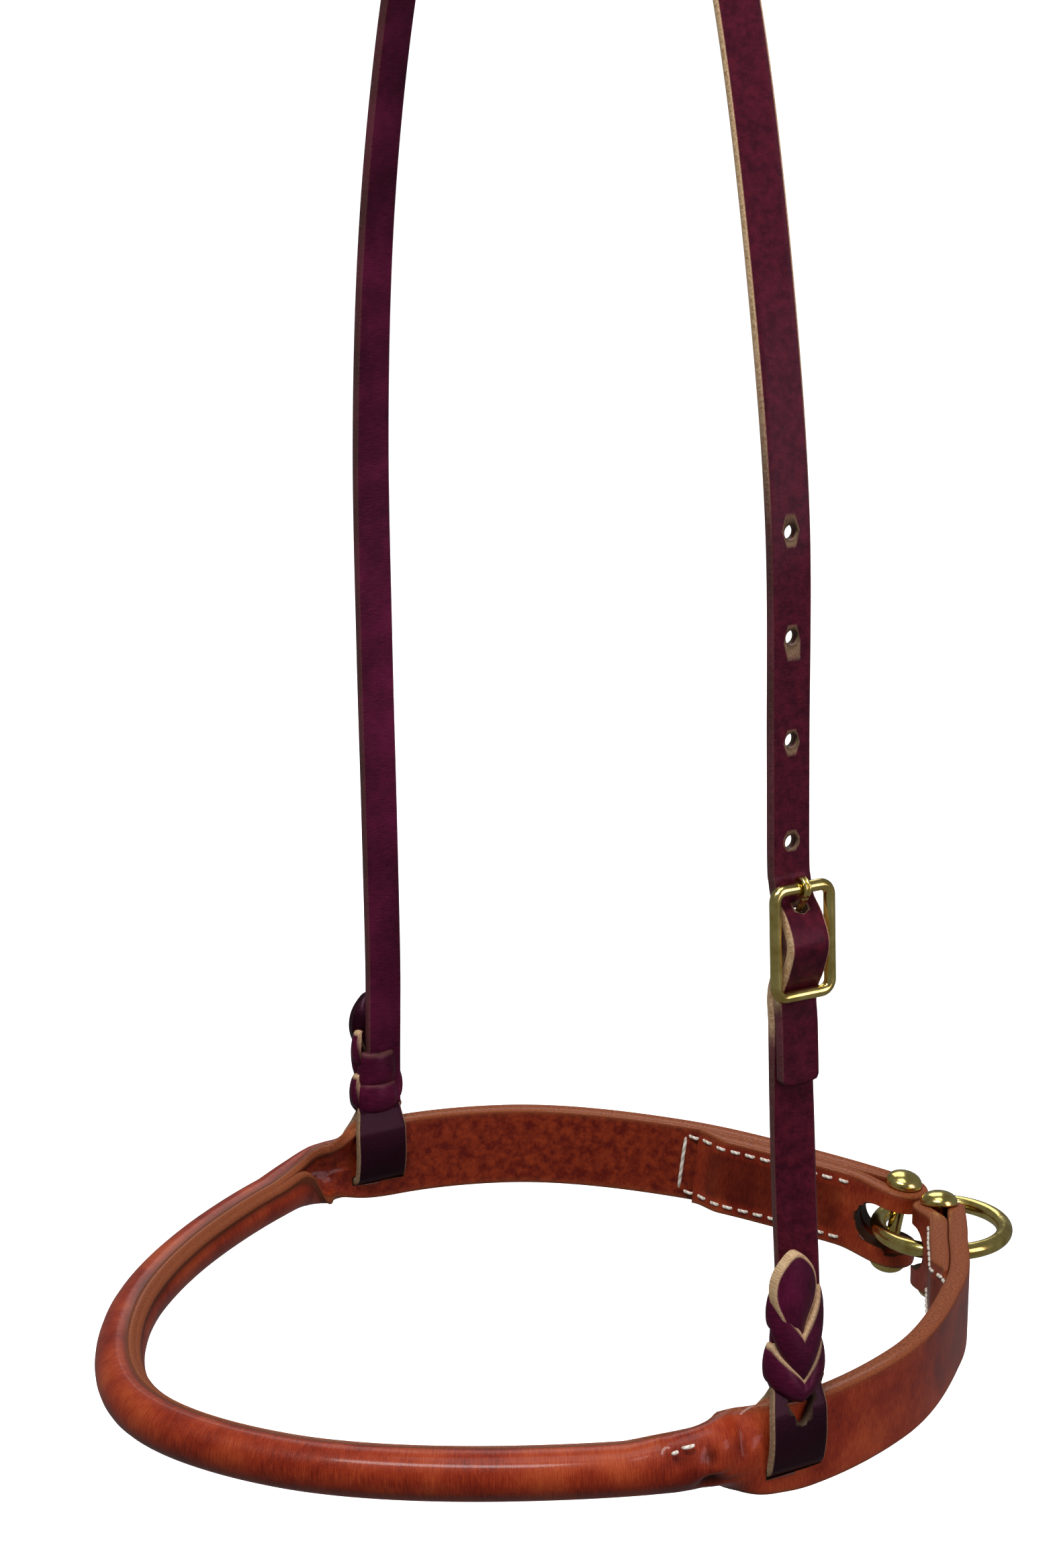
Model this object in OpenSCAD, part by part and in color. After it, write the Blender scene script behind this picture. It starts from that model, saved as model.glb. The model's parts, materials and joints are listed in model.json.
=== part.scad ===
// Rolled-nose leather noseband on a latigo hanger, with a brass tie-down ring and a Conway buckle.
// The origin is the underside of the crown, where the horse's poll carries the hanger.
// +Z is up, -X is towards the nose, +X is towards the chin and -Y is the horse's near (left) side.

/* [Noseband] */
// Height of the flat noseband strap
band_height = 22.2; // [20:0.1:24]
// Thickness of the flat noseband strap
band_thickness = 5; // [4.6:0.1:5.4]
// Thickness of the strap where it folds round the pins and runs back inside
fold_thickness = 4.8; // [4.4:0.1:5]
// Length of the stitched fold-back, measured from the pin
fold_length = 58; // [45:1:62]
// Outer diameter of the rolled nose
roll_diameter = 12; // [11:0.1:13]
// Thickness of the leather round the rope core
roll_skin = 2.6; // [2:0.1:3]
// Distance along the strap from the nose centre to the end of the full roll
roll_reach = 132; // [122:1:133]
// Length of the change from roll to flat strap
roll_fade = 28; // [24:1:29]

/* [Tie-down ring and pins] */
// Inside diameter of the ring
ring_inside = 29.6; // [29:0.1:30.4]
// Wire diameter of the ring
ring_wire = 4.4; // [4:0.1:4.4]
// Diameter of the screw posts
pin_diameter = 3.8; // [3.4:0.1:3.8]
// Diameter of the domed heads
head_diameter = 10; // [9:0.1:10.5]
// Height of the slots that the ring passes through
slot_height = 11.5; // [11:0.1:12]
// Depth of those slots behind the pin
slot_depth = 11.5; // [10.5:0.1:12.5]

/* [Hanger] */
// Height of the crown's underside above the middle of the noseband
crown_height = 400; // [385:1:420]
// Width of the hanger straps
strap_width = 10; // [9.5:0.1:11]
// Thickness of the hanger straps
strap_thickness = 2.6; // [2.2:0.1:2.8]
// Diameter of the punched holes
hole_diameter = 3.6; // [3.4:0.1:3.8]
// Distance between the punched holes
hole_pitch = 22.5; // [20:0.5:23]
// Number of free holes above the buckle
free_holes = 4; // [2:1:5]

/* [Buckle] */
// Outside width of the buckle
buckle_width = 16.6; // [16.4:0.1:18]
// Outside height of the buckle
buckle_height = 26.2; // [25.8:0.1:26.8]
// Wire diameter of the buckle
buckle_wire = 2.3; // [2.1:0.1:2.4]
// Wire diameter of the tongue
tongue_wire = 1.8; // [1.6:0.1:1.8]

/* [Hidden] */
$fn = 48;

NEAR = 1;
FAR = -1;
russet = "#9c4a2c";
burgundy = "#4a1626";
brass = "#b8a04a";
thread = "#efe8d8";
rope = "#cdb98c";

// Half of the noseband seen from above, nose first, on the near side
nose = -118;
pin_axis = [110, -9.2];
pin_run = [0.61, 0.7924];
fold_radius = pin_diameter / 2 + 0.3 + fold_thickness / 2;
strap_end = pin_axis + fold_radius * [pin_run[1], -pin_run[0]];
PLAN = [[nose, 0], [-101, -43], [-62, -77], [-12, -97.8], [35, -89.8], [74, -61.2],
    strap_end - 25.5 * pin_run, strap_end];
plan_steps = 6;
// How far the noseband hangs below its height at the hanger loops, per 100 mm
chin_droop = 7.2;
nose_droop = 2.7;
fold_gap = 0.1;
fold_close = 15;
skive_length = 9;
skive_edge = 1.2;
edge_round = 0.4;
section_steps = 12;
seam_angle = 172;
seam_turn = 35;
roll_radius = (roll_diameter - roll_skin) / 2;
roll_half_width = seam_angle * PI / 180 * roll_radius;
core_radius = roll_diameter / 2 - roll_skin - 0.4;

// Slits in the noseband that the hanger loops pass through
loop_width = 14.6;
loop_wall = 2.4;
slit_height = 4;
slit_middle = -4.6;
slit_length = loop_width + 1.2;
loop_side = band_thickness / 2 + 0.9;

// Heights above the middle of the noseband
knot_foot = 14;
knot_top = 47;
buckle_middle = 118.1;
buckle_plane = -95.7;
buckle_lean = 3.5;
first_hole = 139.1;
layer = strap_thickness + 0.15;
bar_reach = (buckle_height - buckle_wire) / 2;
bulge = -2;
pivot_gap = 0.07;
tongue_turn = buckle_wire / 2 + pivot_gap + tongue_wire / 2;
tongue_leg = 9.5;
tongue_slope = 38;
// The straps pass behind the bottom bar, and behind the hook of the tongue at the top bar
behind_bar = buckle_wire / 2 + 0.2 + strap_thickness / 2;
behind_hook = tongue_turn + tongue_wire / 2 + 0.2 + strap_thickness / 2;

function ease(a, b, x) = let (t = min(max((x - a) / (b - a), 0), 1)) t * t * (3 - 2 * t);
function mix(a, b, t) = a + (b - a) * t;
function unit(v) = v / norm(v);

// A smooth curve through points, with a number of steps between each two; before and after lead it in and out
function bend_point(a, b, c, d, t) =
    0.5 * (2 * b + (c - a) * t + (2 * a - 5 * b + 4 * c - d) * t * t + (3 * b - a - 3 * c + d) * t * t * t);
function bend(p, steps, before, after) =
    let (q = concat([before], p, [after]))
    concat([for (i = [0 : len(p) - 2]) for (k = [0 : steps - 1])
        bend_point(q[i], q[i + 1], q[i + 2], q[i + 3], k / steps)], [p[len(p) - 1]]);

// Distance travelled along a list of points
function travelled(p) = [for (i = 0, d = 0; i < len(p); i = i + 1,
    d = d + (i < len(p) ? norm(p[i] - p[i - 1]) : 0)) d];
function span_at(d, s, i = 0) = i >= len(d) - 2 || s < d[i + 1] ? i : span_at(d, s, i + 1);

// A closed solid from rings that all have the same number of points
module skin(rings) {
    n = len(rings[0]);
    last = len(rings) - 1;
    sides = [for (i = [0 : last - 1]) for (k = [0 : n - 1])
        let (a = i * n + k, b = i * n + (k + 1) % n)
        each [[a, b, b + n], [a, b + n, a + n]]];
    ends = [[for (k = [n - 1 : -1 : 0]) k], [for (k = [0 : n - 1]) last * n + k]];
    polyhedron(points = [for (r = rings) each r], faces = concat(sides, ends));
}

// The noseband's near half: a place is its distance from the nose centre, outwards offset and height
half_plan = bend(PLAN, plan_steps, [PLAN[1][0], -PLAN[1][1]], strap_end + 20 * pin_run);
half_run = travelled(half_plan);
half_length = half_run[len(half_run) - 1];
function droop(x) = x > 0 ? -chin_droop * pow(x / 100, 3) : -nose_droop * pow(x / 100, 2);
function plan_at(s) =
    let (i = span_at(half_run, s), t = (s - half_run[i]) / (half_run[i + 1] - half_run[i]))
    mix(half_plan[i], half_plan[i + 1], t);
function band_point(s) = let (p = plan_at(s)) [p[0], p[1], droop(p[0])];
function band_along(s) = s <= 0 ? [0, -1, 0]
    : s >= half_length ? unit(band_point(half_length) - band_point(half_length - 3))
    : unit(band_point(min(s + 2, half_length)) - band_point(max(s - 2, 0)));
function band_out(s) = let (t = band_along(s)) unit([t[1], -t[0], 0]);
function band_up(s) = cross(band_out(s), band_along(s));
function place(s, out, up) = band_point(s) + out * band_out(s) + up * band_up(s);

// The strap's section: 1 is the full roll, 0 is flat
function rolled(s) = 1 - pow(ease(roll_reach, roll_reach + roll_fade, s), 1.6);
function strap_section(roll, thick) =
    let (half = mix(band_height / 2, roll_half_width, roll),
        curl = roll / roll_radius,
        t = mix(thick, roll_skin, roll),
        turn = -seam_turn * roll,
        steps = [for (k = [0 : section_steps])
            mix(-cos(180 * k / section_steps), 2 * k / section_steps - 1, roll)],
        face = function (v, side)
            let (a = v * half,
                bent = curl * a * 180 / PI,
                round_off = 1 - edge_round * pow(abs(v), 12) * (1 - roll),
                e = side * t / 2 * round_off,
                n = (curl < 0.001 ? 0 : -(1 - cos(bent)) / curl) + roll_radius * roll + e * cos(bent),
                z = (curl < 0.001 ? a : sin(bent) / curl) + e * sin(bent))
            [n * cos(turn) - z * sin(turn), n * sin(turn) + z * cos(turn)])
    concat([for (v = steps) face(v, 1)], [for (k = [section_steps : -1 : 0]) face(steps[k], -1)]);

module noseband_blank() {
    flap_rest = band_thickness / 2 + fold_gap + fold_thickness / 2;
    flap_rows = [for (k = [0 : 9]) fold_length * (1 - k / 9)];
    flap = [for (d = flap_rows)
        let (s = half_length - d,
            apart = mix(2 * fold_radius, flap_rest, ease(0, fold_close, d)),
            thin = mix(skive_edge, fold_thickness, ease(0, skive_length, fold_length - d)),
            shift = apart - (fold_thickness - thin) / 2)
        [for (q = strap_section(0, thin)) place(s, -shift - q[0], q[1])]];
    middle = place(half_length, -fold_radius, 0);
    fold = [for (k = [1 : 7])
        let (a = 180 - k * 22.5,
            away = sin(a) * band_along(half_length) + cos(a) * band_out(half_length))
        [for (q = strap_section(0, fold_thickness))
            middle + (fold_radius + q[0]) * away + q[1] * band_up(half_length)]];
    main_rows = [for (i = [len(half_run) - 1 : -1 : 1]) half_run[i]];
    main = [for (s = main_rows)
        let (thick = mix(fold_thickness, band_thickness, ease(0, fold_close, half_length - s)))
        [for (q = strap_section(rolled(s), thick)) place(s, q[0], q[1])]];
    nose_ring = [[for (q = strap_section(1, band_thickness)) place(0, q[0], q[1])]];
    near = concat(flap, fold, main);
    far = [for (i = [len(near) - 1 : -1 : 0]) [for (p = near[i]) [p[0], -p[1], p[2]]]];
    skin(concat(near, nose_ring, far));
}

// Puts its children in the fold's own axes: X runs to the fold's tip, Y out of the noseband, Z up the pin
module at_fold(side) {
    x = band_along(half_length);
    y = band_out(half_length);
    z = band_up(half_length);
    o = place(half_length, -fold_radius, 0);
    mirror([0, side == FAR ? 1 : 0, 0])
        multmatrix([[x[0], y[0], z[0], o[0]], [x[1], y[1], z[1], o[1]], [x[2], y[2], z[2], o[2]], [0, 0, 0, 1]])
            children();
}

module ring_slot() {
    reach = slot_depth - slot_height / 2;
    translate([-reach, 0, 0])
        rotate([90, 0, 0])
            cylinder(d = slot_height, h = 24, center = true);
    translate([-reach, -12, -slot_height / 2])
        cube([reach + 12, 24, slot_height]);
}

module hanger_slit() {
    translate([-slit_length / 2, -120, slit_middle - slit_height / 2])
        cube([slit_length, 240, slit_height]);
}

module noseband_strap() {
    color(russet)
        from_crown()
            difference() {
                noseband_blank();
                at_fold(NEAR) ring_slot();
                at_fold(FAR) ring_slot();
                hanger_slit();
            }
}

module rope_core() {
    reach = roll_reach + 4;
    rows = [for (k = [0 : 22]) reach * (1 - k / 22)];
    near = [for (s = rows) [for (k = [0 : 7]) place(s, core_radius * cos(45 * k), core_radius * sin(45 * k))]];
    far = [for (i = [len(near) - 2 : -1 : 0]) [for (p = near[i]) [p[0], -p[1], p[2]]]];
    color(rope)
        from_crown()
            skin(concat(near, far));
}

// A stitch from one point to another
module stitch(a, b, thick) {
    v = b - a;
    translate(a)
        rotate([0, acos(v[2] / norm(v)), atan2(v[1], v[0])])
            cylinder(d = thick, h = norm(v), $fn = 16);
}

// Stitches that draw the seam of the roll together
module roll_stitching() {
    pitch = 9;
    count = floor((roll_reach - 6) / pitch);
    edge = roll_diameter / 2 - 0.3;
    color(thread)
        from_crown()
            for (k = [-count : count]) {
                s = abs(k) * pitch + 2;
                ends = [for (a = [-16, 16])
                    let (turn = 180 - seam_turn + a)
                    place(s, edge * cos(turn), edge * sin(turn))];
                mirror([0, k < 0 ? 1 : 0, 0])
                    stitch(ends[0], ends[1], 0.8);
            }
}

module fold_stitching() {
    pitch = 4.4;
    length = 2.9;
    thick = 0.9;
    first = fold_close - 1;
    count = floor((fold_length - skive_length - first) / pitch);
    face = band_thickness / 2 + fold_gap + fold_thickness + 0.1;
    row = band_height / 2 - 2.8;
    for (v = [-row, row])
        for (k = [0 : count - 1]) {
            s = half_length - first - k * pitch;
            stitch(place(s, -face, v), place(s - length, -face, v), thick);
        }
    // One long stitch across the strap, clear of the end of the fold-back
    last = half_length - fold_length - pitch;
    stitch(place(last, -band_thickness / 2, -row), place(last, -band_thickness / 2, row), thick);
}

module near_fold_stitching() {
    color(thread)
        from_crown()
            fold_stitching();
}

module far_fold_stitching() {
    color(thread)
        from_crown()
            mirror([0, 1, 0])
                fold_stitching();
}

// A domed head that sits on the strap's edge
module dome() {
    rim = 0.6;
    rise = 2.9;
    ball = (pow(head_diameter / 2, 2) + pow(rise, 2)) / (2 * rise);
    cylinder(d = head_diameter, h = rim);
    translate([0, 0, rim])
        intersection() {
            translate([0, 0, rise - ball]) sphere(r = ball);
            cylinder(d = head_diameter, h = rise + 1);
        }
}

head_seat = band_height / 2 + 0.2;
screw_depth = 7;
screw_radius = 1.1;

module pin_post() {
    difference() {
        translate([0, 0, -head_seat]) cylinder(d = pin_diameter, h = 2 * head_seat - 0.1);
        translate([0, 0, head_seat - screw_depth - 0.6]) cylinder(r = screw_radius + 0.05, h = screw_depth + 1);
    }
    translate([0, 0, -head_seat]) mirror([0, 0, 1]) dome();
}

module pin_cap() {
    translate([0, 0, head_seat]) dome();
    translate([0, 0, head_seat - screw_depth]) cylinder(r = screw_radius, h = screw_depth + 0.2);
}

module near_pin_post() {
    color(brass)
        from_crown()
            at_fold(NEAR) pin_post();
}

module near_pin_cap() {
    color(brass)
        from_crown()
            at_fold(NEAR) pin_cap();
}

module far_pin_post() {
    color(brass)
        from_crown()
            at_fold(FAR) pin_post();
}

module far_pin_cap() {
    color(brass)
        from_crown()
            at_fold(FAR) pin_cap();
}

ring_middle = [118.4, 0, place(half_length, -fold_radius, 0)[2]];

module tie_down_ring() {
    color(brass)
        from_crown()
            translate(ring_middle)
                rotate_extrude($fn = 96)
                    translate([(ring_inside + ring_wire) / 2, 0])
                        circle(d = ring_wire);
}

// A strap through points of [y, z], with a width and a thickness at each point and a twist in degrees
module hang_strap(path, size) {
    last = len(path) - 1;
    rings = [for (i = [0 : last])
        let (a = path[max(i - 1, 0)],
            b = path[min(i + 1, last)],
            t = unit([0, b[0] - a[0], b[1] - a[1]]),
            flat = cross([1, 0, 0], t),
            q = size(i / last, path[i]),
            across = cos(q[2]) * [1, 0, 0] + sin(q[2]) * flat,
            face = cross(across, t),
            w = q[0] / 2,
            h = q[1] / 2,
            c = min(h * 0.5, 0.7),
            o = [0, path[i][0], path[i][1]])
        [for (p = [[w - c, -h], [w, -h + c], [w, h - c], [w - c, h],
            [c - w, h], [-w, h - c], [-w, c - h], [c - w, -h]])
            o + p[0] * across + p[1] * face]];
    skin(rings);
}

// Width and thickness of a blood knot: two lobes above the loop
function knot_lobe(z) = let (u = (z - knot_foot) / (knot_top - knot_foot))
    u < 0 || u > 1 ? 0 : pow(sin(360 * u), 2);
function knot_body(z) = 1 - ease(knot_top - 3, knot_top + 3, z);
function strap_size(z, twist) = [strap_width + knot_body(z) * 0.6 + 3 * knot_lobe(z),
    strap_thickness + knot_body(z) * 3.4 + 1.6 * knot_lobe(z), twist];

// The loop through the slit in the noseband; y is its middle
module band_loop(y) {
    top = knot_foot + 0.5;
    foot = slit_middle - loop_wall / 2;
    inner = band_height / 2 + 1.2;
    radius = loop_side + loop_wall;
    translate([-loop_width / 2, y, 0])
        rotate([90, 0, 90])
            linear_extrude(height = loop_width)
                difference() {
                    union() {
                        translate([-radius, foot + 1.5]) square([2 * radius, top - foot - 4]);
                        translate([-radius + 1.5, foot]) square([2 * radius - 3, top - foot]);
                        translate([-radius + 1.5, foot + 1.5]) circle(r = 1.5);
                        translate([radius - 1.5, foot + 1.5]) circle(r = 1.5);
                        translate([-radius + 2.5, top - 2.5]) circle(r = 2.5);
                        translate([radius - 2.5, top - 2.5]) circle(r = 2.5);
                    }
                    translate([-loop_side, foot + loop_wall]) square([2 * loop_side, inner - foot - loop_wall]);
                }
}

// Points near the buckle are [out behind the bar plane, up from the buckle's middle]
function at_buckle(p) =
    [buckle_plane + p[0] * cos(buckle_lean) + p[1] * sin(buckle_lean),
     buckle_middle + p[1] * cos(buckle_lean) - p[0] * sin(buckle_lean)];
module on_buckle() {
    translate([0, buckle_plane, buckle_middle])
        rotate([-buckle_lean, 0, 0])
            children();
}
loop_middle = 98.1;

// The crown strap's end: behind the bottom bar, forward through the window, and behind the tongue's hook
CROWN_TAIL = [at_buckle([behind_bar - 0.2, -bar_reach - 20]), at_buckle([behind_bar, -bar_reach - 8]),
    at_buckle([behind_bar + 0.25, -bar_reach - 0.5]), at_buckle([bulge + 1.9, -bar_reach + 5.6]),
    at_buckle([bulge, -bar_reach + 11.5]), at_buckle([bulge + 2.2, bar_reach - 7]),
    at_buckle([behind_hook - 1.1, bar_reach - 3.3])];
CROWN_NEAR = [at_buckle([behind_hook + 0.1, bar_reach + 0.8]), at_buckle([behind_hook + 0.5, bar_reach + 6]),
    [-88.6, 161], [-86.7, 207], [-80.2, 250], [-69.2, 299]];
CROWN_OVER = [[-57, 335], [-39, 372], [-16, 396], [8, 400 + strap_thickness / 2],
    [34, 391], [58, 366], [74, 335]];
CROWN_FAR = [[87, 296], [96, 251], [100, 200], [99.4, 145], [98, 100], [97, 60],
    [97.2, knot_top - 4], [loop_middle, knot_foot]];

crown_lift = crown_height - 400;
crown_points = concat(CROWN_TAIL, CROWN_NEAR,
    [for (p = concat(CROWN_OVER, [CROWN_FAR[0]])) [p[0], p[1] + crown_lift]],
    [for (i = [1 : len(CROWN_FAR) - 1]) CROWN_FAR[i]]);
crown_path = bend(crown_points, 4, crown_points[0] - [0, 5], crown_points[len(crown_points) - 1] - [0, 5]);

module crown_strap() {
    size = function (u, p) p[0] > 0 && p[1] < knot_top + 3
        ? strap_size(p[1], 0)
        : [strap_width, strap_thickness, crown_twist(p)];
    color(burgundy)
        from_crown()
            difference() {
                union() {
                    hang_strap(crown_path, size);
                    band_loop(loop_middle);
                }
                for (k = [0 : free_holes - 1])
                    punched(first_hole + k * hole_pitch);
                on_buckle() tongue_hole();
            }
}

// The straps turn a little about their length between the buckle and the crown
function crown_twist(p) = 14 * ease(150, 300, p[1]) * (1 - ease(330, 390, p[1]));

module punched(z) {
    translate([0, -88, z])
        rotate([90, 0, 0])
            cylinder(d = hole_diameter, h = 40, center = true);
}

// The hole that the tongue drops through, in both straps
module tongue_hole() {
    on_tongue()
        translate([0, 0, -tongue_leg - 2])
            cylinder(d = hole_diameter, h = tongue_leg + 2);
}

module knot_tail() {
    foot = 24;
    tip = 46.5;
    side = 5.4;
    translate([0, -loop_middle - 2.6, 0])
        rotate([90, 0, 0])
            linear_extrude(height = 2)
                polygon([[0, foot], [side, foot + 7], [side, tip - 8], [1.5, tip],
                    [-1.5, tip], [-side, tip - 8], [-side, foot + 7]]);
}

// The cheek strap lies against the back of the crown strap's end
cheek_layer = [for (i = [3 : 22])
    let (t = unit(crown_path[i + 1] - crown_path[i - 1]))
    crown_path[i] + layer * [t[1], -t[0]]];
CHEEK = [[-loop_middle, knot_foot], [-96.3, knot_top - 4], [-94.6, 60], cheek_layer[0]];

module cheek_strap() {
    rise = bend(CHEEK, 4, CHEEK[0] - [0, 5], cheek_layer[1]);
    path = concat(rise, [for (i = [1 : len(cheek_layer) - 1]) cheek_layer[i]]);
    size = function (u, p) strap_size(p[1], 0);
    color(burgundy)
        from_crown()
            difference() {
                union() {
                    hang_strap(path, size);
                    band_loop(-loop_middle);
                    knot_tail();
                }
                on_buckle() tongue_hole();
            }
}

// A rounded rectangle of round wire in the XZ plane
module wire_rectangle(width, height, corner, wire) {
    x = (width - wire) / 2;
    z = (height - wire) / 2;
    for (s = [-1, 1]) {
        translate([s * x, 0, corner - z]) cylinder(d = wire, h = 2 * (z - corner));
        translate([corner - x, 0, s * z]) rotate([0, 90, 0]) cylinder(d = wire, h = 2 * (x - corner));
    }
    for (turn = [0 : 3]) {
        sx = turn == 0 || turn == 3 ? 1 : -1;
        sz = turn < 2 ? 1 : -1;
        translate([sx * (x - corner), 0, sz * (z - corner)])
            rotate([90, -90 * turn, 0])
                rotate_extrude(angle = 90)
                    translate([corner, 0]) circle(d = wire);
    }
}

module buckle_frame() {
    color(brass)
        from_crown()
            on_buckle() wire_rectangle(buckle_width, buckle_height, 2.4, buckle_wire);
}

// Puts its children at the top of the tongue's leg, with the leg running down -Z
module on_tongue() {
    translate([0, 0, bar_reach])
        rotate([tongue_slope, 0, 0])
            translate([0, -tongue_turn, 0])
                children();
}

// The tongue hooks round the top bar and drops back through the straps
module buckle_tongue() {
    color(brass)
        from_crown()
            on_buckle()
                on_tongue() {
                    translate([0, tongue_turn, 0])
                        rotate([0, 90, 0])
                            rotate([0, 0, 10])
                                rotate_extrude(angle = 260)
                                    translate([tongue_turn, 0]) circle(d = tongue_wire);
                    translate([0, 0, -tongue_leg]) cylinder(d = tongue_wire - 0.1, h = tongue_leg + 0.4);
                }
}

// Moves the noseband's middle height to its place below the crown
module from_crown() {
    translate([0, 0, -crown_height]) children();
}

noseband_strap();
rope_core();
roll_stitching();
near_fold_stitching();
far_fold_stitching();
near_pin_post();
near_pin_cap();
far_pin_post();
far_pin_cap();
tie_down_ring();
crown_strap();
cheek_strap();
buckle_frame();
buckle_tongue();
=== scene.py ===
import bpy, bmesh, json, random
from math import copysign, cos, dist, exp, hypot, pi, radians, sin, sqrt, tau
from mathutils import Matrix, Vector


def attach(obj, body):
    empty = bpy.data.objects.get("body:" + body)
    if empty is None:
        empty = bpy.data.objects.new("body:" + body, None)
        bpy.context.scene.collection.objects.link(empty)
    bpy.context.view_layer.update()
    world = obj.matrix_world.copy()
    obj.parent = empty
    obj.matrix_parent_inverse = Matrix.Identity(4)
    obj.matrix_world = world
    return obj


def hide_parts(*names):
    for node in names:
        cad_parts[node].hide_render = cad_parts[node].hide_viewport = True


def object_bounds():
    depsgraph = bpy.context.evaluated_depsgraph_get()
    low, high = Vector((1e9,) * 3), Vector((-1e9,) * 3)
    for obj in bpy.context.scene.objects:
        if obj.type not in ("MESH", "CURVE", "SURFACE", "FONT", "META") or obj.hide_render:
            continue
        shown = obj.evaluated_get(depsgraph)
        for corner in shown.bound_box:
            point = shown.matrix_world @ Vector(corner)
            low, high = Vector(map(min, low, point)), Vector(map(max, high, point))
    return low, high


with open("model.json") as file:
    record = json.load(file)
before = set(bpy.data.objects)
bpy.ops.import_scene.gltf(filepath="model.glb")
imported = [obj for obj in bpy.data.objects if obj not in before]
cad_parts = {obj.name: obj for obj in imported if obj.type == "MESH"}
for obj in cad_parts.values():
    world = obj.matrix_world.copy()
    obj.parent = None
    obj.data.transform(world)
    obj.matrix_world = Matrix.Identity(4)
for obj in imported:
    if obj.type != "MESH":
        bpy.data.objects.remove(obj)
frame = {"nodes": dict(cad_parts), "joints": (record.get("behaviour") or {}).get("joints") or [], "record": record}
cad_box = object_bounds()

# All shapes are worked out in millimetres above the noseband's middle height, then put in the frame's metres.
MM = 0.001
tilt = next(j for j in frame["joints"] if j["name"] == "noseband_tilt")
BAND_MIDDLE = tilt["pos_m"][2] + 0.0046     # the joint's axis runs 4.6 mm below the middle

# The noseband: its flat strap, fold-backs and roll. Distances along it start at the middle of the nose.
BAND_HEIGHT = 22.2
BAND_THICK = 5.0
FOLD_THICK = 4.8
FOLD_LENGTH = 58
ROLL_RADIUS = 6.0
ROLL_SKIN = 2.6
ROLL_REACH = 130
ROLL_FADE = 32
PLY_GAP = 0.1
# The brass, and the plan of the near side's last stretch: where the pin stands and which way the strap runs
PIN_DIAMETER = 3.8
HEAD_DIAMETER = 10
RING_INSIDE = 29.6
RING_WIRE = 4.4
PIN = Vector((110, -9.2))
RUN = Vector((0.61, 0.7924))
FOLD_RADIUS = PIN_DIAMETER / 2 + 0.3 + FOLD_THICK / 2
FOLD_CLOSE = 15
SKIVE = 9
# How far the band's middle line hangs at the chin and at the nose, and where the seam of the roll faces
CHIN_DROOP = 7.2
NOSE_DROOP = 2.7
SEAM_TURN = 50
# The hanger: how far its knots and loops sit forward of the cheek's middle, its strap, and its half spread
KNOT_SHIFT = -1.8
LOOP_SHIFT = -2.8
STRAP_WIDTH = 10
STRAP_THICK = 2.6
LOOP_MIDDLE = 98.1
NEAR, FAR = 1, -1
ACROSS = Vector((1, 0, 0))


# ---------------------------------------------------------------- curves and frames
def clamp(t):
    """t kept between 0 and 1."""
    return min(max(t, 0.0), 1.0)


def ease(a, b, x):
    """0 before a, 1 after b, smooth between."""
    t = clamp((x - a) / (b - a))
    return t * t * (3 - 2 * t)


def mix(a, b, t):
    """a at t = 0, b at t = 1."""
    return a + (b - a) * t


def bend(points, steps, before, after):
    """A Catmull-Rom curve through the points, with the points before and after them that set its ends."""
    q = [Vector(p) for p in [before, *points, after]]
    out = []
    for a, b, c, d in zip(q, q[1:], q[2:], q[3:]):
        for k in range(steps):
            t = k / steps
            out.append(0.5 * (2 * b + (c - a) * t + (2 * a - 5 * b + 4 * c - d) * t * t
                              + (3 * b - a - 3 * c + d) * t ** 3))
    return out + [q[-2]]


class Path:
    """A list of points with the distance travelled along them."""

    def __init__(self, points):
        self.points = points
        self.run = [0.0]
        for a, b in zip(points, points[1:]):
            self.run.append(self.run[-1] + (b - a).length)
        self.length = self.run[-1]

    def at(self, s):
        """The point at distance s."""
        if s <= 0:
            return self.points[0]
        lo, hi = 0, len(self.run) - 1
        while hi - lo > 1:
            m = (lo + hi) // 2
            lo, hi = (m, hi) if self.run[m] <= s else (lo, m)
        t = clamp((s - self.run[lo]) / max(self.run[hi] - self.run[lo], 1e-9))
        return self.points[lo].lerp(self.points[hi], t)


strap_end = PIN + FOLD_RADIUS * Vector((RUN[1], -RUN[0]))
PLAN = [Vector(p) for p in ((-118, 0), (-101, -43), (-62, -77), (-12, -97.8), (35, -89.8), (74, -61.2))]
PLAN += [strap_end - 25.5 * RUN, strap_end]
plan = Path(bend(PLAN, 24, (PLAN[1][0], -PLAN[1][1]), strap_end + 20 * RUN))
LENGTH = plan.length


def droop(x):
    """Height of the band's middle line."""
    return -CHIN_DROOP * (x / 100) ** 3 if x > 0 else -NOSE_DROOP * (x / 100) ** 2


def band_point(s):
    """The band's middle line at distance s from the nose, on the near side."""
    p = plan.at(min(max(s, 0), LENGTH))
    return Vector((p[0], p[1], droop(p[0])))


def band_along(s):
    """Its direction."""
    if s <= 0:
        return Vector((0, -1, 0))
    if s >= LENGTH:
        return (band_point(LENGTH) - band_point(LENGTH - 3)).normalized()
    return (band_point(min(s + 2, LENGTH)) - band_point(max(s - 2, 0))).normalized()


def band_out(s):
    """The level direction out of the band."""
    t = band_along(s)
    return Vector((t[1], -t[0], 0)).normalized()


def band_axes(s):
    """Point, along, out and up."""
    t = band_along(s)
    out = band_out(s)
    return band_point(s), t, out, out.cross(t)


def place(s, out, up):
    """The point so far along, out of and up the band."""
    p, _, o, u = band_axes(s)
    return p + o * out + u * up


def mirrored(p, side):
    """The near side's point as it is on this side."""
    return Vector((p[0], p[1] * side, p[2]))


def to_frame(p):
    """Millimetres from the band's middle height to the frame's metres."""
    return Vector((p[0] * MM, p[1] * MM, p[2] * MM + BAND_MIDDLE))


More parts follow.
